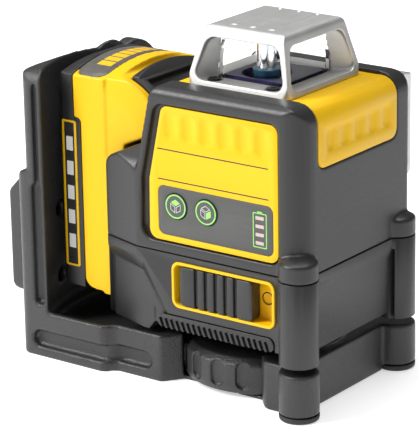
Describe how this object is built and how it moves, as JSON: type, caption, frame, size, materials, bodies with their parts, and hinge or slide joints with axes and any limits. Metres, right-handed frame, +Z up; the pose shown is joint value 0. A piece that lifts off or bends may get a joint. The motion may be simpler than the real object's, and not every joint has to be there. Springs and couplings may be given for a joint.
{
  "type": "self-levelling line laser",
  "caption": "Compact self-levelling line laser with a caged cone lens on top and behind, on a pivoting magnetic L-bracket with a slide-in battery pack.",
  "frame": {"origin": "on the pivot axis, where it meets the bracket's underside, at the mouth of the large tripod thread", "axes": "+Z up along the pivot axis; +X away from the bracket wall, to the right as the user faces the keypad; -Y towards the user"},
  "size_m": [0.1589, 0.1054, 0.1484],
  "materials": {
    "bracket_plastic": "fine-textured charcoal moulded plastic",
    "head_plastic": "satin charcoal moulded plastic",
    "black_plastic": "satin black moulded plastic",
    "yellow_plastic": "semi-gloss yellow moulded plastic",
    "rubber": "matte black rubber",
    "cast_aluminium": "satin die-cast aluminium",
    "steel": "plain zinc-plated steel",
    "black_steel": "black oxide steel",
    "brass": "machined brass",
    "glass": "clear optical glass",
    "dark_glass": "gloss black filter plate",
    "prism_glass": "silvered glass",
    "lens_coating": "blue coated lens",
    "key_plastic": "dark keypad film with pale green print",
    "light_pipe": "frosted light pipe",
    "circuit_board": "green solder resist",
    "cell_wrap": "blue shrink sleeve",
    "label_film": "printed label film with a yellow border"
  },
  "bodies": {
    "bracket": {"bracket_frame": "bracket_plastic", "magnet_housing": "bracket_plastic", "wall_magnets": "steel", "magnet_cover": "rubber", "hanger_plate": "steel", "bracket_screws": "black_steel", "base_cover": "bracket_plastic", "base_cover_screws": "steel", "foot_caps": "rubber", "tripod_bush_large": "brass", "tripod_bush_small": "brass", "pivot_spindle": "steel", "disc_spring": "steel", "spindle_nut": "steel"},
    "knob": {"adjust_knob": "bracket_plastic", "clutch_washer": "brass"},
    "head": {"turntable": "black_plastic", "turntable_screws": "steel", "lower_housing": "head_plastic", "upper_housing": "head_plastic", "housing_screws": "steel", "front_panel": "yellow_plastic", "keypad_plate": "key_plastic", "gauge_lights": "light_pipe", "top_saddle": "yellow_plastic", "switch_bezel": "yellow_plastic", "grille_strip": "head_plastic", "top_cage": "cast_aluminium", "top_cage_screws": "black_steel", "top_windows": "glass", "top_floor_plate": "dark_glass", "rear_cage": "cast_aluminium", "rear_cage_screws": "black_steel", "rear_windows": "glass", "rear_floor_plate": "dark_glass", "terminal_block": "black_plastic", "dock_terminals": "brass", "main_board": "circuit_board", "button_switches": "black_plastic", "gimbal_frame": "cast_aluminium", "gimbal_frame_screws": "black_steel"},
    "slider": {"lock_slider": "head_plastic"},
    "plunger": {"lock_plunger": "black_plastic"},
    "vertical_key": {"button_vertical": "key_plastic"},
    "horizontal_key": {"button_horizontal": "key_plastic"},
    "gimbal": {"gimbal_ring": "cast_aluminium"},
    "pendulum": {"pendulum_body": "cast_aluminium", "pendulum_weight": "brass", "laser_tubes": "black_steel", "cone_prisms": "prism_glass", "lens_rings": "lens_coating"},
    "battery": {"battery_case": "black_plastic", "battery_cover": "yellow_plastic", "battery_inlay": "black_plastic", "battery_label": "label_film", "battery_cells": "cell_wrap", "battery_contacts": "brass", "latch_springs": "steel"},
    "latch": {"battery_latch": "head_plastic"}
  },
  "joints": [
    {"name": "knob_turn", "type": "hinge", "parent": "bracket", "child": "knob", "pos_m": [0, 0, 0], "axis": [0, 0, 1], "continuous": true},
    {"name": "head_swivel", "type": "hinge", "parent": "knob", "child": "head", "pos_m": [0, 0, 0], "axis": [0, 0, 1], "continuous": true},
    {"name": "lock_slide", "type": "slide", "parent": "head", "child": "slider", "axis": [1, 0, 0], "range_m": [0, 0.009]},
    {"name": "plunger_drop", "type": "slide", "parent": "head", "child": "plunger", "axis": [0, 0, -1], "range_m": [0, 0.002]},
    {"name": "vertical_key_press", "type": "slide", "parent": "head", "child": "vertical_key", "axis": [0, 1, 0], "range_m": [0, 0.0008], "stiffness_N_per_m": 400, "springref_m": -0.0004},
    {"name": "horizontal_key_press", "type": "slide", "parent": "head", "child": "horizontal_key", "axis": [0, 1, 0], "range_m": [0, 0.0008], "stiffness_N_per_m": 400, "springref_m": -0.0004},
    {"name": "gimbal_roll", "type": "hinge", "parent": "head", "child": "gimbal", "pos_m": [0.0026, 0, 0.072], "axis": [1, 0, 0], "range_deg": [-3, 3]},
    {"name": "gimbal_pitch", "type": "hinge", "parent": "gimbal", "child": "pendulum", "pos_m": [0.0026, 0, 0.072], "axis": [0, 1, 0], "range_deg": [-3, 3]},
    {"name": "battery_slide", "type": "slide", "parent": "head", "child": "battery", "axis": [0, 0, 1], "range_m": [0, 0.06]},
    {"name": "latch_press", "type": "slide", "parent": "battery", "child": "latch", "axis": [0, 0, -1], "range_m": [0, 0.003], "stiffness_N_per_m": 500, "springref_m": -0.001, "deforming": ["latch_springs"]}
  ],
  "couplings": [
    {"joint": "plunger_drop", "follows": "lock_slide", "ratio": 0.22222}
  ]
}
